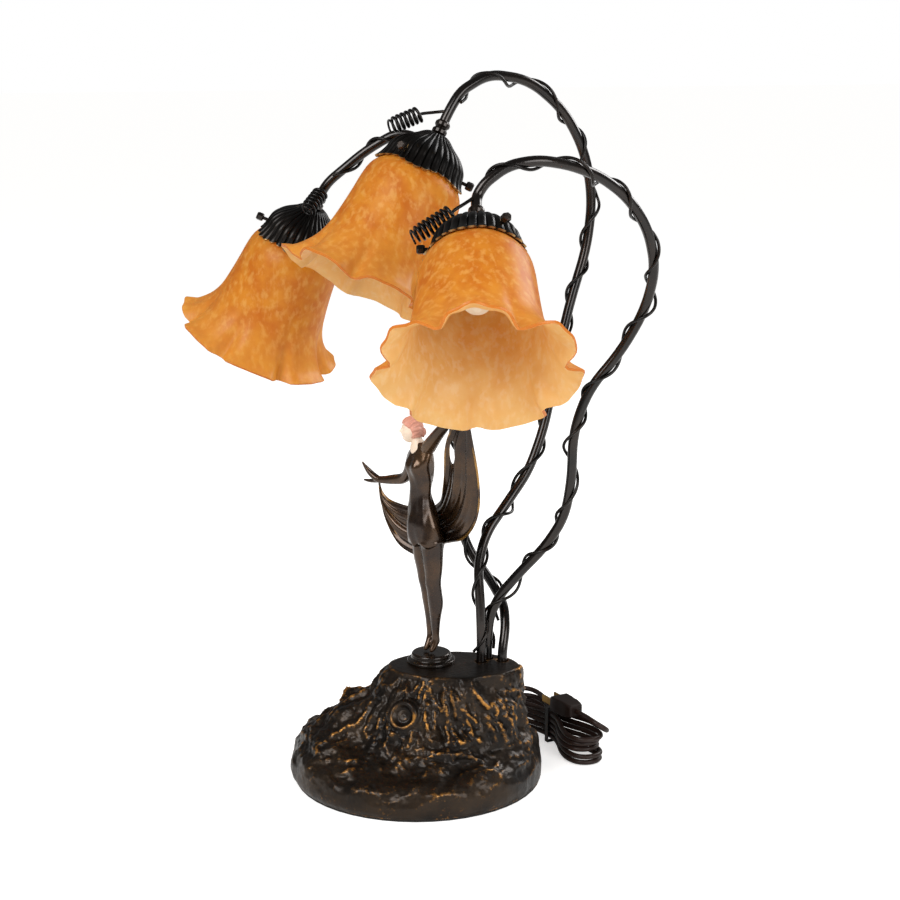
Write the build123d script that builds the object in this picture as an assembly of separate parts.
"""Figural table lamp: a dancer beside three gooseneck stems with ruffled glass shades, on a cast stump.

Millimetres, +Z up. The origin is on the floor at the centre of the round foot; the dancer faces -Y.
"""

import math
import os

from build123d import *

os.makedirs("parts", exist_ok=True)

# --- Running and seating clearances -------------------------------------------------------------
SEAT_GAP = 0.3  # between pieces that rest against each other on curved faces
SCREW_FIT = 0.06  # radial, a thumbscrew in its hole
TUBE_FIT = 0.05  # radial, a tube or stud in its hole

# --- Cast base: round foot, stump and bank --------------------------------------------------------
FELT_THICK = 1.5
FOOT_RADIUS = 112.0
STUMP_TOP_Z = 104.0
STUMP_CENTRE = (25.0, 24.0)
STUMP_HALF_LONG = 56.5
STUMP_HALF_SHORT = 35.5
STUMP_TURN = 60.0  # degrees, direction of the stump's long axis
CASTING_WALL = 4.5
BASE_FACETS = 48
CAVITY_FACETS = 24
RELIEF_DEPTH = 3.2  # bark and rock relief on the stump's flank
BANK_HEIGHT = 26.0  # the earth bank that leans on the stump
BANK_ANGLE = 240.0
BANK_SPREAD = 38.0
# share of the way from the foot's rim to the stump's top edge, height, share of bark relief, share of bank
BASE_LEVELS = [
    (0.050, FELT_THICK, 0.0, 0.0),
    (0.012, 6.0, 0.0, 0.0),
    (0.000, 11.5, 0.0, 0.0),
    (0.012, 18.0, 0.0, 0.05),
    (0.060, 24.0, 0.0, 0.22),
    (0.160, 28.5, 0.2, 0.60),
    (0.320, 32.0, 0.6, 0.85),
    (0.500, 38.0, 1.0, 1.00),
    (0.640, 50.0, 1.0, 0.90),
    (0.760, 68.0, 1.0, 0.40),
    (0.870, 88.0, 0.8, 0.05),
    (0.960, 100.0, 0.4, 0.0),
    (1.000, STUMP_TOP_Z, 0.0, 0.0),
]
CAVITY_ROOF_Z = 97.0
CAVITY_LEVELS = [
    (0.07, FELT_THICK - 1.0), (0.10, 17.0), (0.34, 24.0), (0.56, 32.0), (0.78, 60.0), (0.93, 86.0),
    (0.97, CAVITY_ROOF_Z),
]
KNOT_RADIUS = 11.5
KNOT_REACH = 7.0
KNOT_AT = (38.0, -28.0, 72.0)
KNOT_AIM = (0.45, -0.85, 0.15)
LOG_RADIUS = 11.0
LOG_FROM = (-44.0, -46.0, 63.0)
LOG_TO = (-12.0, -22.0, 70.0)
ROOT_RADIUS = 7.0

# --- Stems: bent tubes and what holds their feet ---------------------------------------------------
STEM_RADIUS = 4.25
STEM_BORE = 3.25
PLATE_THICK = 4.0
STEM_FOOT_Z = CAVITY_ROOF_Z - PLATE_THICK
STEM_FEET = {"a": (30.0, 49.0), "b": (24.4, 58.7), "c": (36.7, 66.3)}
PLATE_RIM = 1.2  # brass round each tube
PLATE_LUGS = ((17.0, 45.0), (44.0, 51.0))
PLATE_SCREW_RADIUS = 1.9
PLATE_SCREW_BITE = 4.5
BLOCK_HEIGHT = 12.0
BLOCK_RIM = 4.5
LEAD_SIZE = (3.6, 1.8)
# points of each stem's centre line between its foot and its gallery
STEM_COURSE = {
    "a": [
        (30, 49, 126), (26, 50, 158), (20, 51, 188), (17, 61, 215), (13, 86, 240), (10, 109, 264),
        (7, 128, 304), (3, 141, 358), (1, 157, 412), (0, 174, 457), (0, 179, 500), (0, 170, 541),
        (0, 148, 576), (0, 112, 602), (0, 72, 607), (0, 45, 593),
    ],
    "b": [
        (24.4, 58.7, 122), (24, 61, 142), (29, 68, 161), (41, 81, 183), (56, 97, 207), (70, 108, 236),
        (75, 111, 270), (76, 111, 310), (83, 121, 347), (99, 143, 381), (113, 156, 416), (125, 157, 451),
        (134, 142, 485), (140, 117, 512), (144, 87, 530), (147, 55, 540), (145, 28, 544), (137, 6, 540),
        (132, -11, 527),
    ],
    "c": [
        (36.7, 66.3, 112), (31, 73, 130), (19, 79, 147), (8, 76, 161), (-1, 71, 174), (-12, 63, 190),
        (-19, 58, 208), (-23, 60, 240), (-31, 62, 277), (-40, 63, 313), (-52, 61, 352), (-67, 60, 405),
        (-78, 62, 455), (-85, 66, 503), (-88, 66, 532), (-96, 57, 552), (-108, 42, 555), (-123, 20, 540),
    ],
}
BEND_SHARE = 0.45  # share of the shorter run that a bend takes up
HEAD_LEAD = 24.0  # straight run of tube before the gallery

# --- Heads: where each gallery starts, and the way its shade points -----------------------------------
HEAD_AT = {"a": (0.0, 23.0, 557.6), "b": (145.0, -26.0, 500.0), "c": (-149.4, -18.8, 488.6)}
HEAD_AIM = {"a": (0.0, -0.484, -0.875), "b": (0.617, -0.357, -0.70), "c": (-0.395, -0.245, -0.885)}

# --- Vine wires and their tendrils -----------------------------------------------------------------
VINE_RADIUS = 1.4
VINE_SIDES = 4
VINE_PITCH = 56.0
VINE_STEPS = 8  # points in each turn
VINE_STAND_OFF = 0.8  # room for the straight runs between those points
VINE_START = {"a": 14.0, "b": 14.0, "c": 40.0}  # along the stem from the stump's top
VINE_END = 30.0  # short of the gallery
VINE_PHASE = {"a": 90.0, "b": 200.0, "c": 20.0}
TENDRIL_WIRE = 1.0
TENDRIL_RADIUS = 4.6
TENDRIL_PITCH = 4.8
TENDRIL_BACK = 20.0  # its root, along the stem from the gallery
TENDRIL_FROM = {"a": (-4.8, 8.8, 574.8), "b": (142.0, -45.0, 507.0), "c": (-132.3, -20.6, 503.6)}
TENDRIL_TO = {"a": (-11.4, -16.8, 564.5), "b": (131.5, -75.0, 488.2), "c": (-122.8, -40.6, 488.0)}

# --- Gallery, lampholder, bulb and shade, along the head's axis -------------------------------------
GALLERY_LOBES = 15
GALLERY_FLUTE = 0.9
GALLERY_WAVES = 5  # broad waves of the skirt, over the fine flutes
GALLERY_WAVE = 1.7
NIPPLE_RADIUS = 3.15
NIPPLE_BORE = 2.3
NIPPLE_IN_TUBE = 10.0
COLLAR_RADIUS = 6.4
COLLAR_LENGTH = 12.5
NUT_FROM = 6.4
NUT_RADIUS = 6.6
HOLDER_TOP = 9.0
HOLDER_RADIUS = 12.4
HOLDER_LENGTH = 37.0
BULB_CAP_RADIUS = 6.9
BULB_RADIUS = 15.5
BULB_LENGTH = 38.0
SHADE_TOP = 18.7
SHADE_WALL = 2.8
SHADE_LOBES = 6
SHADE_STEPS = 6  # points to a lobe
RUFFLE_OUT = 6.5
RUFFLE_UP = 4.0
# along the axis, outer radius, share of the ruffle
SHADE_PROFILE = [
    (SHADE_TOP, 28.8, 0.0),
    (23.5, 28.8, 0.0),
    (26.0, 26.8, 0.0),
    (29.5, 26.8, 0.0),
    (36.0, 33.0, 0.0),
    (46.0, 38.0, 0.0),
    (64.0, 40.5, 0.03),
    (84.0, 43.5, 0.10),
    (100.0, 48.0, 0.25),
    (113.0, 55.0, 0.50),
    (124.0, 64.0, 0.80),
    (131.5, 72.0, 1.0),
]
SCREW_T = 27.8  # thumbscrew axis, in the neck's groove
SCREW_RADIUS = 1.5
SCREW_KNOB_FROM = 38.6
SCREW_KNOB_RADIUS = 3.8
SCREW_KNOB_LENGTH = 6.5
SCREW_ANGLES = (0.0, 120.0, 240.0)

# --- Dancer ------------------------------------------------------------------------------------------
PLINTH_AT = (8.0, 11.0)
PLINTH_HEIGHT = 9.0
PLINTH_RADIUS = 21.0
STUD_RADIUS = 2.5
WASHER_THICK = 1.2
BODY_SIDES = 16
LIMB_SIDES = 10

# --- Cord, hank and plug -----------------------------------------------------------------------------
CORD_WIDTH = 4.6
CORD_SIDES = 6
HANK_AT = (-3.0, 146.0)
HANK_RUN = 100.0
HANK_HALF = 14.4
HANK_WAIST = 3.2
HANK_UNEVEN = 3.5  # how far the folds stray from line
HANK_STEP = 5.4
HANK_LOOPS = 5
PLUG_SIZE = (30.0, 19.0, 14.0)
BLADE_LENGTH = 16.0
BLADE_SPREAD = 12.7


def unit(direction):
    """Direction of length one."""
    return Vector(*direction).normalized()


def across(direction, hint=(0, 0, 1)):
    """Two directions square to the given one and to each other."""
    along = unit(direction)
    side = along.cross(Vector(*hint))
    if side.length < 0.05:
        side = along.cross(Vector(1, 0, 0))
    side = side.normalized()
    return side, along.cross(side).normalized()


def facet(*points):
    """Flat face with these corners."""
    return Face(Wire.make_polygon(list(points), close=True))


def skin(rings, endless=False):
    """Closed solid of flat facets through rings of points; an endless one joins its last ring to its first."""
    count = len(rings[0])
    faces = []
    for near, far in zip(rings, rings[1:] + (rings[:1] if endless else [])):
        for i in range(count):
            j = (i + 1) % count
            faces.append(facet(near[i], near[j], far[j]))
            faces.append(facet(near[i], far[j], far[i]))
    if not endless:
        faces.append(facet(*rings[0]))
        faces.append(facet(*rings[-1]))
    solid = Solid(Shell(faces))
    return solid if solid.volume > 0 else Solid(solid.shell().wrapped.Reversed())


def ring(centre, side, up, width, depth, sides, turn=0.0):
    """Points of an ellipse of the given half sizes about a centre."""
    angles = [math.radians(turn + 360.0 * i / sides) for i in range(sides)]
    return [centre + side * (width * math.cos(a)) + up * (depth * math.sin(a)) for a in angles]


def turned(profile, sides, place=Location()):
    """Turned piece of the given number of facets: (radius, height) pairs from the bottom to the top."""
    rings = [ring(Vector(0, 0, z), Vector(1, 0, 0), Vector(0, 1, 0), r, r, sides) for r, z in profile]
    return place * skin(rings)


def turned_bored(outline, sides, place=Location()):
    """Turned ring whose closed (radius, height) outline goes once round its wall."""
    rings = []
    for i in range(sides):
        a = 2 * math.pi * i / sides
        rings.append([Vector(r * math.cos(a), r * math.sin(a), z) for r, z in outline])
    return place * skin(rings, endless=True)


def hexagon_nut(bore, radius, start, end):
    """Hexagon nut with a round bore between two heights."""
    return turned([(radius, start), (radius, end)], 6).cut(Pos(0, 0, start) * Cylinder(bore, 4 * (end - start)))


def limb_rings(stations, sides, hint=(0, 1, 0), turn=0.0):
    """Rings square to a limb through (x, y, z, half width, half depth) stations."""
    centres = [Vector(*s[:3]) for s in stations]
    rings = []
    for i, station in enumerate(stations):
        along = centres[min(i + 1, len(centres) - 1)] - centres[max(i - 1, 0)]
        side, up = across(along, hint)
        rings.append(ring(centres[i], side, up, station[3], station[4], sides, turn))
    return rings


def limb(stations, sides, hint=(0, 1, 0)):
    """Tapering limb, each station cut square to it."""
    return skin(limb_rings(stations, sides, hint))


def level_limb(stations, sides, turn=0.0):
    """Upright limb through (x, y, z, half width, half depth) stations, each cut level."""
    flat = [(Vector(x, y, z), w, d) for x, y, z, w, d in stations]
    return skin([ring(c, Vector(1, 0, 0), Vector(0, 1, 0), w, d, sides, turn) for c, w, d in flat])


def bend_radii(points):
    """Largest tangent bends that the runs between the points allow."""
    radii = []
    for before, here, after in zip(points, points[1:], points[2:]):
        turn = math.radians((here - before).get_angle(after - here))
        shorter = min((here - before).length, (after - here).length)
        radii.append(BEND_SHARE * shorter / math.tan(turn / 2))
    return radii


def bent_path(points, beyond=0.0):
    """Straight runs joined by tangent arcs; the last run may go on beyond its end."""
    points = [Vector(*p) for p in points]
    radii = bend_radii(points)
    points[-1] += (points[-1] - points[-2]).normalized() * beyond
    return FilletPolyline(*points, radius=radii)


def swept(section, path):
    """Section carried square along the path from its start."""
    start = Plane(origin=path @ 0, x_dir=across(path % 0)[1], z_dir=path % 0)
    return sweep(start * section, path=path)


def biarc(p0, t0, p1, t1):
    """Two tangent arcs from one point and direction to another."""
    gap = p1 - p0
    if gap.normalized().dot(t0) > 1 - 1e-9 and t0.dot(t1) > 1 - 1e-9:
        return [Edge.make_line(p0, p1)]
    lean = t0.dot(t1)
    reach = gap.dot(t0 + t1)
    if abs(1 - lean) < 1e-9:
        d = gap.dot(gap) / (2 * reach)
    else:
        d = (-reach + math.sqrt(reach * reach + 2 * (1 - lean) * gap.dot(gap))) / (2 * (1 - lean))
    a, b = p0 + t0 * d, p1 - t1 * d
    joint = (a + b) * 0.5
    middle = (b - a).normalized()
    edges = []
    for start, tangent, end in ((p0, t0, joint), (joint, middle, p1)):
        if (end - start).normalized().dot(tangent) > 1 - 1e-9:
            edges.append(Edge.make_line(start, end))
        else:
            edges.append(Edge.make_tangent_arc(start, tangent, end))
    return edges


def biarc_path(stops):
    """Wire of biarcs through (point, direction) pairs."""
    edges = []
    for (p0, t0), (p1, t1) in zip(stops, stops[1:]):
        edges += biarc(p0, t0.normalized(), p1, t1.normalized())
    return Wire(edges)


def least_gap(path, wire_width, apart, count=900):
    """Least gap of a wire to itself, between points more than a given length apart along it."""
    points = [path @ (i / count) for i in range(count + 1)]
    skip = max(1, int(apart / path.length * count))
    nearest = 1e9
    for i, p in enumerate(points):
        for q in points[i + skip:]:
            nearest = min(nearest, (p - q).length)
    return nearest - wire_width


# --- Base ---------------------------------------------------------------------------------------------
def base_ring(share, z, relief, bank, sides, inset=0.0):
    """Level outline between the round foot and the oval stump top, with bark relief and the bank's rise."""
    turn = math.radians(STUMP_TURN)
    points = []
    for i in range(sides):
        a = 2 * math.pi * i / sides
        swing = RELIEF_DEPTH * relief * (0.5 + 0.3 * math.sin(5 * a + z / 9) + 0.2 * math.sin(11 * a - z / 7))
        foot = FOOT_RADIUS - inset
        fx, fy = foot * math.cos(a), foot * math.sin(a)
        long, short = STUMP_HALF_LONG - inset, STUMP_HALF_SHORT - inset
        u, v = long * math.cos(a - turn), short * math.sin(a - turn)
        tx = STUMP_CENTRE[0] + u * math.cos(turn) - v * math.sin(turn)
        ty = STUMP_CENTRE[1] + u * math.sin(turn) + v * math.cos(turn)
        off = (math.degrees(a) - BANK_ANGLE + 180) % 360 - 180
        rise = BANK_HEIGHT * bank * math.exp(-((off / BANK_SPREAD) ** 2))
        x = fx + (tx - fx) * share + swing * math.cos(a)
        y = fy + (ty - fy) * share + swing * math.sin(a)
        points.append(Vector(x, y, z + rise))
    return points


def base_casting():
    """Hollow casting: foot, bank and stump, with its knot, fallen log and roots."""
    body = skin([base_ring(*level, BASE_FACETS) for level in BASE_LEVELS])
    for extra in (knot(), fallen_log(), *roots()):
        body = body.fuse(extra)
    cavity = [base_ring(share, z, 0.0, 0.0, CAVITY_FACETS, CASTING_WALL) for share, z in CAVITY_LEVELS]
    body = body.cut(skin(cavity))
    depth = STUMP_TOP_Z - CAVITY_ROOF_Z + 20
    for x, y in STEM_FEET.values():
        body = body.cut(Pos(x, y, CAVITY_ROOF_Z) * Cylinder(STEM_RADIUS + TUBE_FIT, depth))
    for x, y in PLATE_LUGS:
        body = body.cut(Pos(x, y, CAVITY_ROOF_Z) * Cylinder(PLATE_SCREW_RADIUS + TUBE_FIT, 2 * PLATE_SCREW_BITE))
    body = body.cut(Pos(*PLINTH_AT, CAVITY_ROOF_Z) * Cylinder(STUD_RADIUS + TUBE_FIT, depth))
    return body.cut(cord_exit_place() * Cylinder(BUSH_RADIUS + TUBE_FIT, 40))


def knot():
    """Sawn branch end on the stump's front, with its growth rings."""
    place = Plane(origin=KNOT_AT, z_dir=KNOT_AIM).location
    profile = [(KNOT_RADIUS + 2.5, -12), (KNOT_RADIUS, KNOT_REACH - 2), (KNOT_RADIUS - 1.5, KNOT_REACH)]
    rim = turned(profile, 16, place)
    groove = [(r, KNOT_REACH + z) for r, z in ((8.6, 1), (8.6, -1.2), (7.0, -1.2), (7.0, 1))]
    return rim.cut(turned_bored(groove, 16, place))


def fallen_log():
    """Log end that lies on the bank."""
    x0, y0, z0 = LOG_FROM
    x1, y1, z1 = LOG_TO
    mid = ((x0 + x1) / 2, (y0 + y1) / 2, (z0 + z1) / 2)
    stations = [
        (x0, y0, z0, LOG_RADIUS - 3, LOG_RADIUS - 3),
        (x0 + 2, y0 + 1.5, z0, LOG_RADIUS, LOG_RADIUS),
        (*mid, LOG_RADIUS - 1, LOG_RADIUS - 1),
        (x1, y1, z1, LOG_RADIUS, LOG_RADIUS),
    ]
    return limb(stations, 12, hint=(0, 0, 1))


def roots():
    """Roots that run from the stump's flank down onto the foot."""
    made = []
    for angle, drop in ((-62, 0.30), (-22, 0.36), (18, 0.32), (96, 0.34), (160, 0.36), (300, 0.28)):
        stations = []
        for share, z, r in ((0.90, 84, 0.5), (0.76, 62, 0.85), (0.60, 43, 1.0), (0.46, 34, 0.9), (drop, 28, 0.45)):
            here = base_ring(share, z, 0.0, 0.0, 360, 4.0)[(int(angle) + int(40 * (0.9 - share))) % 360]
            stations.append((here.X, here.Y, here.Z, ROOT_RADIUS * r, ROOT_RADIUS * r))
        made.append(limb(stations, 8, hint=(0, 0, 1)))
    return made


def base_felt():
    """Felt disc that closes the hollow and stands on the table."""
    level = base_ring(BASE_LEVELS[0][0], 0.0, 0.0, 0.0, BASE_FACETS, 1.0)
    return skin([level, [p + Vector(0, 0, FELT_THICK) for p in level]])


def foot_plate(rim, lugs, height):
    """Plate whose outline goes round the three stem feet and any lugs."""
    rounds = [Pos(x, y) * Circle(STEM_RADIUS + rim) for x, y in (*STEM_FEET.values(), *lugs)]
    return extrude(make_hull([edge for circle in rounds for edge in circle.edges()]), height)


def stem_plate():
    """Brass plate under the stump's top that the three tubes are brazed into."""
    plate = Pos(0, 0, STEM_FOOT_Z) * foot_plate(PLATE_RIM, PLATE_LUGS, PLATE_THICK)
    for x, y in STEM_FEET.values():
        plate = plate - Pos(x, y, STEM_FOOT_Z) * Cylinder(STEM_RADIUS + TUBE_FIT, PLATE_THICK * 3)
    for x, y in PLATE_LUGS:
        plate = plate - Pos(x, y, STEM_FOOT_Z) * Cylinder(PLATE_SCREW_RADIUS + TUBE_FIT, PLATE_THICK * 3)
    return plate.solid()


def plate_screws():
    """Pan-head screws that hold the plate under the stump's top."""
    screws = []
    for x, y in PLATE_LUGS:
        profile = [
            (2.2, STEM_FOOT_Z - 2.6), (3.6, STEM_FOOT_Z - 1.8), (3.6, STEM_FOOT_Z),
            (PLATE_SCREW_RADIUS, STEM_FOOT_Z), (PLATE_SCREW_RADIUS, CAVITY_ROOF_Z + PLATE_SCREW_BITE - 0.2),
        ]
        screws.append(turned(profile, 16, Pos(x, y, 0)))
    return Compound(screws)


def terminal_block():
    """Moulded block under the plate where the three leads meet the cord."""
    return (Pos(0, 0, STEM_FOOT_Z - BLOCK_HEIGHT) * foot_plate(BLOCK_RIM - STEM_RADIUS, (), BLOCK_HEIGHT)).solid()


# --- Cord exit -----------------------------------------------------------------------------------------
EXIT_ANGLE = 120.0
EXIT_Z = 12.0
BUSH_RADIUS = 4.6
BUSH_SNOUT = 22.0


def cord_exit_place():
    """Place on the foot's flank, with +Z along the way the cord leaves."""
    a = math.radians(EXIT_ANGLE)
    aim = (math.cos(a), math.sin(a), 0)
    at = (FOOT_RADIUS * aim[0], FOOT_RADIUS * aim[1], EXIT_Z)
    return Plane(origin=at, x_dir=(0, 0, 1), z_dir=aim).location


def cord_bushing():
    """Tapered rubber sleeve, seated in the foot's wall by its flange."""
    wall = CASTING_WALL + 2
    bore = CORD_WIDTH / 2 + SEAT_GAP / 2
    outline = [
        (bore, -wall), (BUSH_RADIUS, -wall), (BUSH_RADIUS, SEAT_GAP), (BUSH_RADIUS + 2.4, SEAT_GAP),
        (BUSH_RADIUS + 2.4, 3.0), (BUSH_RADIUS - 0.6, 4.0), (bore + 1.0, BUSH_SNOUT), (bore, BUSH_SNOUT),
    ]
    return turned_bored(outline, 20, cord_exit_place())


# --- Stems and vines -----------------------------------------------------------------------------------
def stem_path(key, beyond=0.0):
    """Centre line of a stem from its plate to its gallery, or beyond."""
    foot = (*STEM_FEET[key], STEM_FOOT_Z)
    end = Vector(*HEAD_AT[key])
    lead = end - unit(HEAD_AIM[key]) * HEAD_LEAD
    return bent_path([foot, *STEM_COURSE[key], tuple(lead), tuple(end)], beyond)


def stem(path):
    """Bent tube with its wiring bore."""
    return swept(Circle(STEM_RADIUS), path).cut(swept(Circle(STEM_BORE), path))


def lead(key):
    """Twin flex inside a stem, from the terminal block to the lampholder."""
    return swept(Rectangle(*LEAD_SIZE), stem_path(key, HOLDER_TOP))


def vine_points(key, path):
    """Points of a vine wire that winds up a stem."""
    stand = STEM_RADIUS + SEAT_GAP + VINE_RADIUS + VINE_STAND_OFF
    first, last = STUMP_TOP_Z - STEM_FOOT_Z + VINE_START[key], path.length - VINE_END
    steps = int((last - first) / VINE_PITCH * VINE_STEPS)
    points, side = [], None
    for i in range(steps + 1):
        at = first + (last - first) * i / steps
        here = path.position_at(at, PositionMode.LENGTH)
        along = path.tangent_at(at, PositionMode.LENGTH)
        if side is None:
            side = across(along, (0, 1, 0))[0]
        side = (side - along * side.dot(along)).normalized()
        up = along.cross(side)
        a = math.radians(VINE_PHASE[key] + 360.0 * i / VINE_STEPS)
        points.append(here + side * (stand * math.cos(a)) + up * (stand * math.sin(a)))
    return points


def wire_skin(points, radius, sides):
    """Wire of flat-sided section through points."""
    rings, side = [], None
    for i, here in enumerate(points):
        along = (points[min(i + 1, len(points) - 1)] - points[max(i - 1, 0)]).normalized()
        if side is None:
            side = across(along)[0]
        side = (side - along * side.dot(along)).normalized()
        rings.append(ring(here, side, along.cross(side), radius, radius, sides, 45.0))
    return skin(rings)


def tendril(key, stem_line):
    """Corkscrew tendril: out from the stem, then a coil on biarcs of a quarter turn."""
    start, end = Vector(*TENDRIL_FROM[key]), Vector(*TENDRIL_TO[key])
    aim = (end - start).normalized()
    back = stem_line.length - TENDRIL_BACK
    root, along = (f(back, PositionMode.LENGTH) for f in (stem_line.position_at, stem_line.tangent_at))
    away = start - root
    away = (away - along * away.dot(along)).normalized()
    foot = root + away * (STEM_RADIUS + SEAT_GAP + TENDRIL_WIRE / 2)
    onset = (start - foot).normalized()
    side, up = across(aim)
    turns = int((end - start).length / TENDRIL_PITCH * 4)
    stops = [(foot, onset), (foot + onset * 2 * TENDRIL_WIRE, onset)]
    for i in range(turns + 1):
        a = math.pi / 2 * i
        out = side * math.cos(a) + up * math.sin(a)
        onward = (up * math.cos(a) - side * math.sin(a)) * TENDRIL_RADIUS * math.pi / 2 + aim * TENDRIL_PITCH / 4
        stops.append((start + out * TENDRIL_RADIUS + aim * (TENDRIL_PITCH * i / 4), onward))
    path = biarc_path(stops)
    print("tendril", key, "turns", turns / 4, "least gap to itself", round(least_gap(path, 2 * TENDRIL_WIRE, 12.0), 2))
    return swept(RegularPolygon(TENDRIL_WIRE, 4), path)


# --- Heads ---------------------------------------------------------------------------------------------
def head_place(key):
    """Place of a head: origin where the stem ends, +Z along the shade's axis."""
    aim = unit(HEAD_AIM[key])
    return Plane(origin=HEAD_AT[key], x_dir=across(aim)[0], z_dir=aim).location


def gallery():
    """Fluted shade holder with a scalloped skirt and three screw holes."""
    # radius, height, share of flute, share of the rim's wave
    wall = [
        (NIPPLE_RADIUS + TUBE_FIT + 0.1, 0.0, 0, 0), (9.0, 0.0, 0, 0), (17.0, 6.0, 0.6, 0), (26.5, 13.0, 1, 0),
        (32.5, 20.5, 1, 0), (34.6, 28.0, 1, 0), (38.0, 36.0, 1.6, 1),
        (36.2, 36.0, 1.6, 1), (32.9, 28.0, 1, 0), (31.0, 20.2, 0, 0), (29.8, 18.6, 0, 0), (23.0, 15.5, 0, 0),
        (13.0, 8.6, 0, 0),
        (NIPPLE_RADIUS + TUBE_FIT + 0.1, 4.5, 0, 0),
    ]
    rings = []
    for i in range(2 * GALLERY_LOBES):
        a = math.pi * i / GALLERY_LOBES
        swing = GALLERY_FLUTE if i % 2 == 0 else -GALLERY_FLUTE
        wave = GALLERY_WAVE * math.cos(GALLERY_WAVES * a)
        points = [(r + swing * flute + wave * rim, z + (swing + wave) * rim) for r, z, flute, rim in wall]
        rings.append([Vector(r * math.cos(a), r * math.sin(a), z) for r, z in points])
    body = skin(rings, endless=True)
    for angle in SCREW_ANGLES:
        body = body.cut(screw_place(angle) * Pos(0, 0, 34) * Cylinder(SCREW_RADIUS + SCREW_FIT, 12))
    return body


def screw_place(angle):
    """Place of a thumbscrew: origin on the head's axis, +Z outwards along the screw."""
    a = math.radians(angle)
    aim = (math.cos(a), math.sin(a), 0)
    return Plane(origin=(0, 0, SCREW_T), x_dir=(0, 0, 1), z_dir=aim).location


def thumbscrew():
    """Screw with a ribbed knob, its tip in the groove of the glass neck."""
    tip = SHADE_PROFILE[2][1] + SEAT_GAP
    knob_from = SCREW_KNOB_FROM
    shank = Pos(0, 0, tip) * Cylinder(SCREW_RADIUS, knob_from - tip, align=(Align.CENTER, Align.CENTER, Align.MIN))
    rings = []
    for z, share in ((0.0, 0.8), (1.2, 1.0), (SCREW_KNOB_LENGTH - 1.5, 1.0), (SCREW_KNOB_LENGTH, 0.75)):
        points = []
        for i in range(12):
            a = math.pi * i / 6
            r = SCREW_KNOB_RADIUS * share * (1.0 if i % 2 == 0 else 0.88)
            points.append(Vector(r * math.cos(a), r * math.sin(a), knob_from + z))
        rings.append(points)
    return shank.solid().fuse(skin(rings))


def shade():
    """Bell of frosted glass with a grooved neck and a six-lobed ruffled lip."""
    rings = []
    count = SHADE_LOBES * SHADE_STEPS
    for i in range(count):
        a = 2 * math.pi * i / count
        wave = math.cos(SHADE_LOBES * a)
        outer, inner = [], []
        for t, r, share in SHADE_PROFILE:
            radius, height = r + RUFFLE_OUT * wave * share, t - RUFFLE_UP * wave * share**2
            lean = SHADE_WALL * share * 0.7
            outer.append((radius, height))
            inner.append((radius - SHADE_WALL * (1 - 0.3 * share), height + (lean if share else 0.0)))
        rings.append([Vector(r * math.cos(a), r * math.sin(a), z) for r, z in outer + inner[::-1]])
    return skin(rings, endless=True)


def lampholder():
    """Brass lampholder: cap, shoulder and sleeve round the bulb's cap."""
    bore = BULB_CAP_RADIUS + 0.4
    top, end = HOLDER_TOP, HOLDER_TOP + HOLDER_LENGTH
    profile = [
        (7.0, top), (HOLDER_RADIUS, top + 3), (HOLDER_RADIUS + 0.9, top + 9), (HOLDER_RADIUS + 0.9, top + 12),
        (HOLDER_RADIUS - 0.6, top + 13), (HOLDER_RADIUS - 0.6, end),
    ]
    body = turned(profile, 24)
    return body.cut(turned([(bore, top + 14), (bore, end + 5)], 24))


def bulb_cap():
    """Screw cap of a bulb, seated in its holder."""
    start = HOLDER_TOP + 14 + SEAT_GAP
    end = HOLDER_TOP + HOLDER_LENGTH + 1
    return turned([(3.0, start), (BULB_CAP_RADIUS, start + 3), (BULB_CAP_RADIUS, end)], 20)


def bulb():
    """Small round glass bulb on its cap."""
    start = HOLDER_TOP + HOLDER_LENGTH + 1
    shape = [(0.46, 0), (0.62, 0.16), (0.92, 0.36), (1.0, 0.56), (0.88, 0.78), (0.55, 0.94), (0.18, 1.0)]
    return turned([(BULB_RADIUS * r, start + BULB_LENGTH * z) for r, z in shape], 20)


def nipple_nut():
    """Hexagon nut between gallery and lampholder."""
    return hexagon_nut(NIPPLE_RADIUS + TUBE_FIT, NUT_RADIUS, NUT_FROM, HOLDER_TOP)


def nipple():
    """Threaded tube that joins stem, gallery and lampholder."""
    end = HOLDER_TOP
    outline = [
        (NIPPLE_BORE, -NIPPLE_IN_TUBE), (NIPPLE_RADIUS, -NIPPLE_IN_TUBE), (NIPPLE_RADIUS, end), (NIPPLE_BORE, end),
    ]
    return turned_bored(outline, 16)


def collar():
    """Two-bead turned collar on the end of a stem."""
    bore = STEM_RADIUS + TUBE_FIT + 0.1
    bead = COLLAR_LENGTH / 2
    outline = [(bore, -COLLAR_LENGTH), (bore + 0.5, -COLLAR_LENGTH)]
    for k in (0, 1):
        start = -COLLAR_LENGTH + bead * k
        outline += [(COLLAR_RADIUS, start + bead * 0.3), (COLLAR_RADIUS, start + bead * 0.7)]
        outline += [(bore + 0.5, start + bead)]
    return turned_bored([*outline, (bore, 0.0)], 18)


# --- Dancer --------------------------------------------------------------------------------------------
FOOT_Z = STUMP_TOP_Z + PLINTH_HEIGHT
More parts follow.
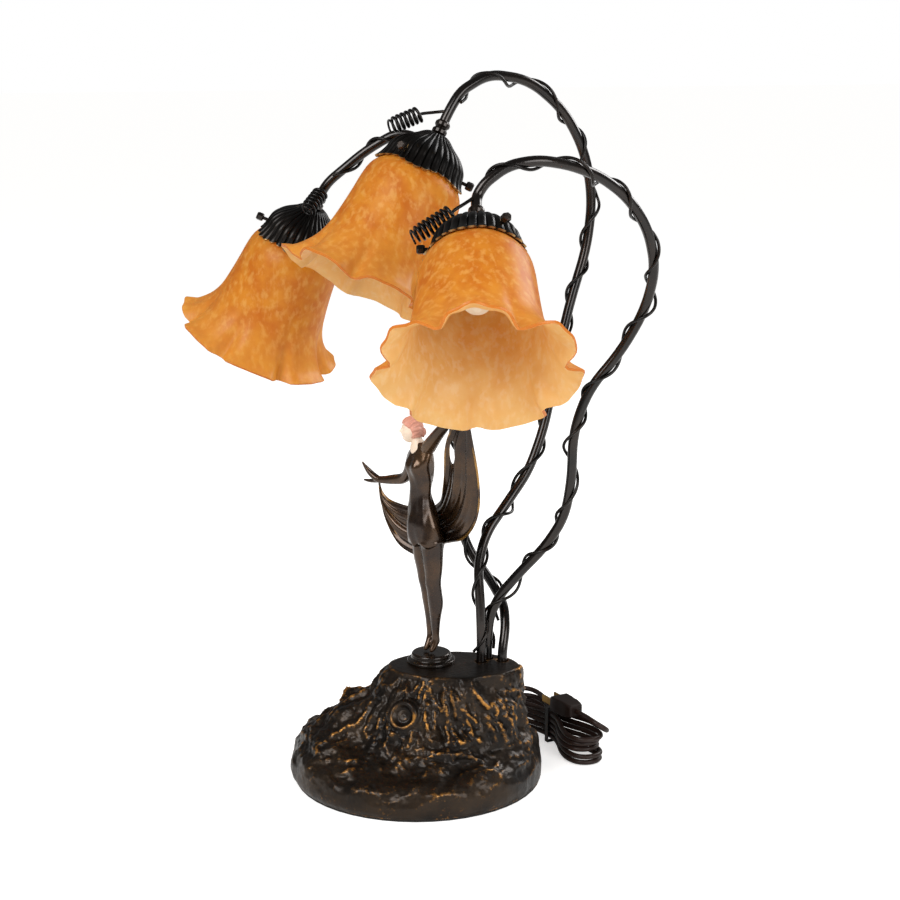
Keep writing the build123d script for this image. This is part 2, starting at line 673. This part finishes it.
# torso from the hips to the neck, then each leg from hip to toe: x, y, z, half width, half depth
TORSO = [
    (4.0, 7.2, 200.0, 15.0, 11.0), (3.2, 6.6, 214.0, 17.5, 13.5), (2.6, 6.0, 226.0, 16.5, 12.5),
    (1.6, 4.8, 243.0, 12.0, 9.6), (1.0, 4.0, 256.0, 11.2, 8.8), (0.8, 3.2, 268.0, 13.2, 10.4),
    (0.6, 2.6, 278.0, 14.8, 12.2), (0.0, 3.6, 287.0, 15.2, 10.0), (-0.4, 4.4, 293.0, 12.0, 7.0),
    (-0.8, 4.2, 297.0, 5.4, 5.2), (-1.0, 3.6, 301.0, 4.8, 4.8),
]
LEFT_LEG = [
    (12.4, 8.8, FOOT_Z, 2.4, 2.6), (12.0, 11.0, FOOT_Z + 4, 3.4, 4.6), (11.2, 13.4, FOOT_Z + 11, 3.4, 4.0),
    (11.4, 14.0, 140.0, 4.7, 5.6), (11.0, 13.6, 158.0, 6.2, 7.2), (10.8, 11.4, 178.0, 6.2, 6.8),
    (11.0, 9.8, 196.0, 8.2, 9.0), (11.6, 8.2, 213.0, 9.4, 11.0),
]
RIGHT_LEG = [
    (5.4, 8.0, FOOT_Z, 2.4, 2.6), (4.8, 10.0, FOOT_Z + 4, 3.4, 4.6), (4.0, 12.6, FOOT_Z + 11, 3.4, 4.0),
    (2.6, 13.4, 140.0, 4.7, 5.6), (1.2, 12.6, 158.0, 6.2, 7.2), (-0.4, 9.6, 178.0, 6.2, 6.8),
    (-2.2, 7.6, 196.0, 8.2, 9.0), (-4.0, 6.6, 213.0, 9.4, 11.0),
]
BUST = ((6.4, -6.4, 274.5), (-6.0, -6.4, 274.5))
BUST_RADIUS = 5.4
RIGHT_ARM = [
    (-11.0, 5.0, 289.5, 4.6, 4.8), (-20.0, 7.4, 279.0, 4.2, 4.4), (-35.0, 11.0, 260.5, 3.1, 3.2),
    (-48.0, 4.0, 257.0, 3.0, 3.0), (-59.0, -2.6, 254.5, 2.0, 2.4), (-66.0, -6.6, 258.0, 1.6, 3.6),
    (-76.0, -12.0, 268.0, 0.7, 1.2),
]
LEFT_ARM = [
    (11.5, 4.6, 291.0, 4.6, 4.8), (22.0, 6.0, 302.0, 4.2, 4.4), (35.0, 8.6, 318.0, 3.1, 3.2),
    (43.0, 10.0, 328.0, 2.9, 2.9), (50.0, 11.2, 337.0, 2.0, 2.4), (54.0, 11.4, 343.0, 1.6, 3.4),
    (58.0, 10.4, 353.0, 0.7, 1.2),
]
NECK_Z = 301.0
HEAD_CENTRE = (-1.6, 1.2, 312.5)
HEAD_TILT = 24.0
HEAD_TURN = 12.0
# height, half width, half depth, shift back, push of the front edge
HEAD_LEVELS = [
    (-8.6, 2.2, 2.6, -2.0, 0.4), (-7.4, 4.2, 4.6, -1.6, 0.6), (-5.4, 5.2, 6.2, -0.8, -0.2),
    (-4.2, 5.6, 6.8, -0.4, 0.5), (-3.0, 5.9, 7.1, -0.2, 0.2), (-1.8, 6.1, 7.3, 0.0, 1.7), (0.6, 6.3, 7.4, 0.2, 0.5),
    (1.8, 6.4, 7.7, 0.2, 0.1), (4.6, 6.2, 7.5, 0.4, 0.0), (7.2, 4.8, 5.8, 0.6, 0.0), (8.6, 2.2, 2.8, 0.8, 0.0),
]
HAIR_LEVELS = [
    (-5.6, 4.6, 4.0, 4.6, 0.0), (-3.4, 7.0, 6.2, 3.4, 0.0), (-0.6, 8.0, 7.2, 2.8, 0.0), (2.4, 8.2, 8.4, 1.8, 0.0),
    (5.2, 7.8, 8.8, 1.0, 0.6), (8.0, 6.4, 7.4, 1.0, 0.2), (10.4, 3.0, 3.8, 1.2, 0.0),
]
DRAPE_THICK = 1.8
DRAPE_FOLD = 1.5
DRAPE_FOLDS = 2.5
DRAPE_STEPS = 12
# top and bottom edge, from the right wrist round the hips to the left hand
DRAPE_EDGES = [
    ((-61.0, -3.2, 250.6), (-60.4, -2.8, 246.0)),
    ((-57.0, -1.8, 243.5), (-57.5, -2.0, 231.0)),
    ((-50.0, 1.0, 238.2), (-53.0, -0.4, 219.0)),
    ((-41.0, 4.8, 236.0), (-45.5, 3.0, 206.0)),
    ((-31.0, 9.5, 235.0), (-36.0, 7.0, 197.0)),
    ((-20.0, 16.0, 235.5), (-22.4, 14.5, 192.0)),
    ((-10.0, 21.5, 238.0), (-9.0, 21.8, 196.0)),
    ((-1.0, 23.0, 243.0), (4.0, 23.4, 207.0)),
    ((6.0, 22.6, 249.0), (20.0, 24.0, 213.0)),
    ((13.0, 20.5, 260.0), (36.0, 25.0, 218.6)),
    ((20.0, 18.0, 272.0), (49.0, 26.0, 228.5)),
    ((24.8, 15.6, 284.0), (58.0, 26.8, 242.0)),
    ((29.6, 13.2, 297.0), (62.0, 27.0, 259.4)),
    ((36.0, 12.6, 311.0), (62.5, 24.5, 283.0)),
    ((45.0, 15.4, 325.0), (61.0, 20.5, 306.0)),
    ((51.5, 15.6, 335.0), (60.0, 17.0, 327.0)),
    ((55.5, 15.0, 342.5), (59.5, 15.2, 339.5)),
]
# near edge of the slot between the drape's two upper folds, and the way through it
DRAPE_SLOT = [
    (58.1, 0.6, 313.4), (59.2, 2.4, 313.4), (59.8, 3.6, 303.9), (59.7, 3.4, 295.4), (58.6, 1.6, 290.7),
    (57.9, 0.3, 294.6), (57.6, -0.2, 303.1),
]
SLOT_WAY = (-0.845, 0.490, -0.216)
SLOT_LENGTH = 53.7


def plinth():
    """Stepped turned plinth under the dancer."""
    r, z, top = PLINTH_RADIUS, STUMP_TOP_Z, STUMP_TOP_Z + PLINTH_HEIGHT
    profile = [(r, z), (r, z + 2.6), (r - 1.2, z + 3.4), (r - 3.2, z + 3.8), (r - 3.6, z + 6.4), (r - 5.2, top)]
    body = turned(profile, 32, Pos(*PLINTH_AT, 0))
    return body.cut(Pos(*PLINTH_AT, z) * Cylinder(STUD_RADIUS + TUBE_FIT, 10))


def figure_stud():
    """Threaded stud from under the stump's top up into the plinth."""
    return turned([(STUD_RADIUS, CAVITY_ROOF_Z - 9), (STUD_RADIUS, STUMP_TOP_Z + 4.6)], 20, Pos(*PLINTH_AT, 0))


def figure_nut():
    """Hexagon nut and washer on the stud, drawn up under the stump's top."""
    bore = STUD_RADIUS + TUBE_FIT + 0.05
    top, seat = CAVITY_ROOF_Z, CAVITY_ROOF_Z - WASHER_THICK
    washer = turned_bored([(bore + 0.1, seat), (6.5, seat), (6.5, top), (bore + 0.1, top)], 24)
    nut = hexagon_nut(bore, 4.6, seat - 4.4, seat)
    return Compound([Pos(*PLINTH_AT, 0) * piece for piece in (washer, nut)])


def dancer_body():
    """Torso and both legs as one casting, on the toes."""
    body = level_limb(TORSO, BODY_SIDES)
    for leg in (LEFT_LEG, RIGHT_LEG):
        body = body.fuse(level_limb(leg, LIMB_SIDES))
    for x, y, z in BUST:
        steps = ((-0.6, 0.8), (0.0, 1.0), (0.5, 0.86), (0.86, 0.5), (1.0, 0.16))
        stations = [(x, y - BUST_RADIUS * t, z, BUST_RADIUS * s, BUST_RADIUS * s) for t, s in steps]
        body = body.fuse(limb(stations, 10, hint=(0, 0, 1)))
    for arm in (RIGHT_ARM, LEFT_ARM):
        body = body.fuse(skin(limb_rings(arm, LIMB_SIDES)[:2]))
    return body


def forearm(stations):
    """Arm from above the elbow to the fingertips, brazed to the stub on the body."""
    return skin(limb_rings(stations, LIMB_SIDES)[1:])


def head_place_upright():
    """Place of the dancer's head: origin in its middle, tilted back and a little to her right."""
    return Pos(*HEAD_CENTRE) * Rot(0, 0, -HEAD_TURN) * Rot(-HEAD_TILT, 0, 0)


def skull(levels, sides=18):
    """Head form through (height, half width, half depth, shift back, push of the front edge) levels."""
    rings = []
    for z, width, depth, back, push in levels:
        points = ring(Vector(0, back, z), Vector(1, 0, 0), Vector(0, 1, 0), width, depth, sides, -90.0)
        points[0] -= Vector(0, push, 0)
        rings.append(points)
    return head_place_upright() * skin(rings)


def dancer_head():
    """Head and throat, with nose, lips and chin as plain swellings."""
    neck = level_limb([(-1.0, 3.6, NECK_Z, 4.4, 4.6), (-1.1, 3.2, NECK_Z + 8.0, 4.0, 4.4)], 12)
    return neck.fuse(skull(HEAD_LEVELS))


def dancer_hair():
    """Waved hair drawn back from the face, with a knot at the nape."""
    knot_at = head_place_upright() * Pos(0, 8.6, -1.5)
    bun = knot_at * turned([(1.2, -3.6), (3.4, -2.2), (4.2, 0.0), (3.4, 2.4), (1.2, 3.8)], 10)
    return skull(HAIR_LEVELS).fuse(bun).cut(dancer_head())


def drape():
    """Scarf of cast sheet from the right wrist, round the hips, up to the raised left hand."""
    centres = [(Vector(*top), Vector(*bottom)) for top, bottom in DRAPE_EDGES]
    rings = []
    for i, (top, bottom) in enumerate(centres):
        before, after = centres[max(i - 1, 0)], centres[min(i + 1, len(centres) - 1)]
        along = (after[0] + after[1]) - (before[0] + before[1])
        normal = along.cross(bottom - top).normalized()
        if normal.Y < 0:
            normal = normal * -1
        depth = DRAPE_FOLD * min(1.0, (bottom - top).length / 30.0)
        front, back = [], []
        for k in range(DRAPE_STEPS + 1):
            share = k / DRAPE_STEPS
            here = top + (bottom - top) * share + normal * (depth * math.sin(2 * math.pi * DRAPE_FOLDS * share))
            front.append(here - normal * DRAPE_THICK / 2)
            back.append(here + normal * DRAPE_THICK / 2)
        rings.append(front + back[::-1])
    way = unit(Vector(*SLOT_WAY))
    near = [Vector(*p) - way * (Vector(*p) - Vector(*DRAPE_SLOT[0])).dot(way) for p in DRAPE_SLOT]
    return skin(rings).cut(skin([near, [p + way * SLOT_LENGTH for p in near]]))


# --- Cord ----------------------------------------------------------------------------------------------
CORD_LAY_Z = CORD_WIDTH / 2 + 0.1
TIE_THICK = 0.8
WAIST_LIFT = TIE_THICK + 0.3
HANK_TOP = CORD_LAY_Z + HANK_STEP * HANK_LOOPS + CORD_WIDTH / 2
PLUG_AT = (19.0, 147.5, HANK_TOP + WAIST_LIFT + SEAT_GAP + PLUG_SIZE[2] / 2)
EXIT_LEAD = 17.0  # straight runs where the cord leaves the bushing, the hank and the plug
HANK_LEAD = 17.7
PLUG_LEAD = 11.0
CORD_RUN = [(-79.0, 148.6, 6.0), (-67.0, 160.4, CORD_LAY_Z)]
CORD_INSIDE = [(-31.0, 80.0, 13.5), (-10.0, 66.0, 17.0), (9.0, 57.0, 27.0), (23.0, 56.0, 43.0)]
CORD_TAIL = [(72.0, 152.6, 35.4), (66.6, 145.0, 41.0), (52.0, 146.6, 40.8)]


def hank_stops():
    """Points and directions of the hank: level loops, one above the other, drawn in at the waist."""
    cx, cy = HANK_AT
    ahead, back, out, home = Vector(1, 0, 0), Vector(-1, 0, 0), Vector(0, -1, 0), Vector(0, 1, 0)
    stops = []
    for k in range(HANK_LOOPS + 1):
        z = CORD_LAY_Z + HANK_STEP * k
        left = cx - HANK_RUN / 2 + HANK_UNEVEN * math.sin(2.1 * k)
        right = cx + HANK_RUN / 2 + HANK_UNEVEN * math.sin(1.7 * k + 0.6)
        if k:
            stops.append((Vector(left - HANK_HALF, cy, z), home))
        stops.append((Vector(left, cy + HANK_HALF, z), ahead))
        stops.append((Vector(cx, cy + HANK_WAIST, z + WAIST_LIFT), ahead))
        stops.append((Vector(right, cy + HANK_HALF, z), ahead))
        if k == HANK_LOOPS:
            break
        stops.append((Vector(right + HANK_HALF, cy, z), out))
        stops.append((Vector(right, cy - HANK_HALF, z), back))
        stops.append((Vector(cx, cy - HANK_WAIST, z + WAIST_LIFT + HANK_STEP / 2), back))
        stops.append((Vector(left, cy - HANK_HALF, z + HANK_STEP), back))
    return stops


def cord_hank(stops):
    """Hanked cord, one unbroken run."""
    path = biarc_path(stops)
    gap = least_gap(path, CORD_WIDTH, 40.0, 1400)
    print("hank length", round(path.length), "least gap to itself", round(gap, 2))
    return swept(RegularPolygon(CORD_WIDTH / 2, CORD_SIDES), path)


def cord_tube(name, points):
    """Free cord through hand-laid points."""
    points = [Vector(*p) for p in points]
    section = RegularPolygon(CORD_WIDTH / 2, CORD_SIDES)
    path = bent_path(points)
    tube = swept(section, path)
    print("cord", name, "length", round(path.length), "radii", [round(r) for r in bend_radii(points)],
          "volume over section times length", round(tube.volume / (section.area * path.length), 4))
    return tube


def cord_tie():
    """Wire tie round the hank's waist."""
    cx, cy = HANK_AT
    wide = HANK_WAIST + CORD_WIDTH / 2 + 0.4
    top = CORD_LAY_Z + HANK_STEP * HANK_LOOPS + WAIST_LIFT + CORD_WIDTH / 2 + 0.4
    outer = Pos(cx, cy, top / 2 + TIE_THICK / 2) * Box(5.0, 2 * (wide + TIE_THICK), top + TIE_THICK)
    inner = Pos(cx, cy, (top + TIE_THICK) / 2) * Box(9.0, 2 * wide, top - TIE_THICK)
    return (outer - inner).solid()


def plug():
    """Two-blade plug body."""
    x, y, z = PLUG_AT
    body = Pos(x, y, z) * Box(*PLUG_SIZE)
    return chamfer(body.edges().filter_by(Axis.X), 1.5).solid()


def plug_blades():
    """The plug's two flat blades."""
    x, y, z = PLUG_AT
    blades = []
    for side in (-1, 1):
        at = Pos(x - PLUG_SIZE[0] / 2 - BLADE_LENGTH / 2, y + side * BLADE_SPREAD / 2, z)
        blades.append((at * Box(BLADE_LENGTH, 1.5, 6.3)).solid())
    return Compound(blades)


def write(node, shape):
    """One STEP file for a node."""
    export_step(shape, f"parts/{node}.step")


def main():
    """Write every node."""
    write("base_casting", base_casting())
    write("base_felt", base_felt())
    write("cord_bushing", cord_bushing())
    write("stem_plate", stem_plate())
    write("stem_plate_screws", plate_screws())
    write("terminal_block", terminal_block())
    write("figure_plinth", plinth())
    write("figure_stud", figure_stud())
    write("figure_nut", figure_nut())
    write("dancer_body", dancer_body())
    write("dancer_right_arm", forearm(RIGHT_ARM))
    write("dancer_left_arm", forearm(LEFT_ARM))
    write("dancer_head", dancer_head())
    write("dancer_hair", dancer_hair())
    write("drape", drape())

    head = {"gallery": gallery(), "shade": shade()}
    screw = thumbscrew()
    for key in HEAD_AT:
        path = stem_path(key)
        write(f"stem_{key}", stem(path))
        write(f"lead_{key}", lead(key))
        write(f"vine_{key}", wire_skin(vine_points(key, path), VINE_RADIUS, VINE_SIDES))
        write(f"tendril_{key}", tendril(key, path))
        for name, piece in head.items():
            write(f"{name}_{key}", head_place(key) * piece)
        for number, angle in enumerate(SCREW_ANGLES, 1):
            write(f"thumbscrew_{key}{number}", head_place(key) * screw_place(angle) * screw)
    for name, piece in (
        ("bead_collars", collar()), ("nipples", nipple()), ("nipple_nuts", nipple_nut()),
        ("lampholders", lampholder()), ("bulb_caps", bulb_cap()), ("bulbs", bulb()),
    ):
        write(name, Compound([head_place(key) * piece for key in HEAD_AT]))

    stops = hank_stops()
    hank_end, plug_end = stops[-1][0], Vector(*PLUG_AT) + Vector(PLUG_SIZE[0] / 2, 0, 0)
    inner, snout, clear = [
        (cord_exit_place() * Pos(0, 0, reach)).position
        for reach in (-CASTING_WALL - 10, BUSH_SNOUT, BUSH_SNOUT + EXIT_LEAD)
    ]
    count = len(STEM_FEET)
    block = Vector(*[sum(foot[i] for foot in STEM_FEET.values()) / count for i in (0, 1)], STEM_FOOT_Z - BLOCK_HEIGHT)
    rise = block - Vector(0, 0, EXIT_LEAD)
    write("cord_inside", cord_tube("inside", [snout, inner, *CORD_INSIDE, rise, block]))
    write("cord_run", cord_tube("run", [snout, clear, *CORD_RUN, stops[0][0]]))
    write("cord_hank", cord_hank(stops))
    tail_ends = [hank_end + Vector(HANK_LEAD, 0, 0)], [plug_end + Vector(PLUG_LEAD, 0, 0), plug_end]
    write("cord_tail", cord_tube("tail", [hank_end, *tail_ends[0], *CORD_TAIL, *tail_ends[1]]))
    write("cord_tie", cord_tie())
    write("plug_body", plug())
    write("plug_blades", plug_blades())


if __name__ == "__main__":
    main()
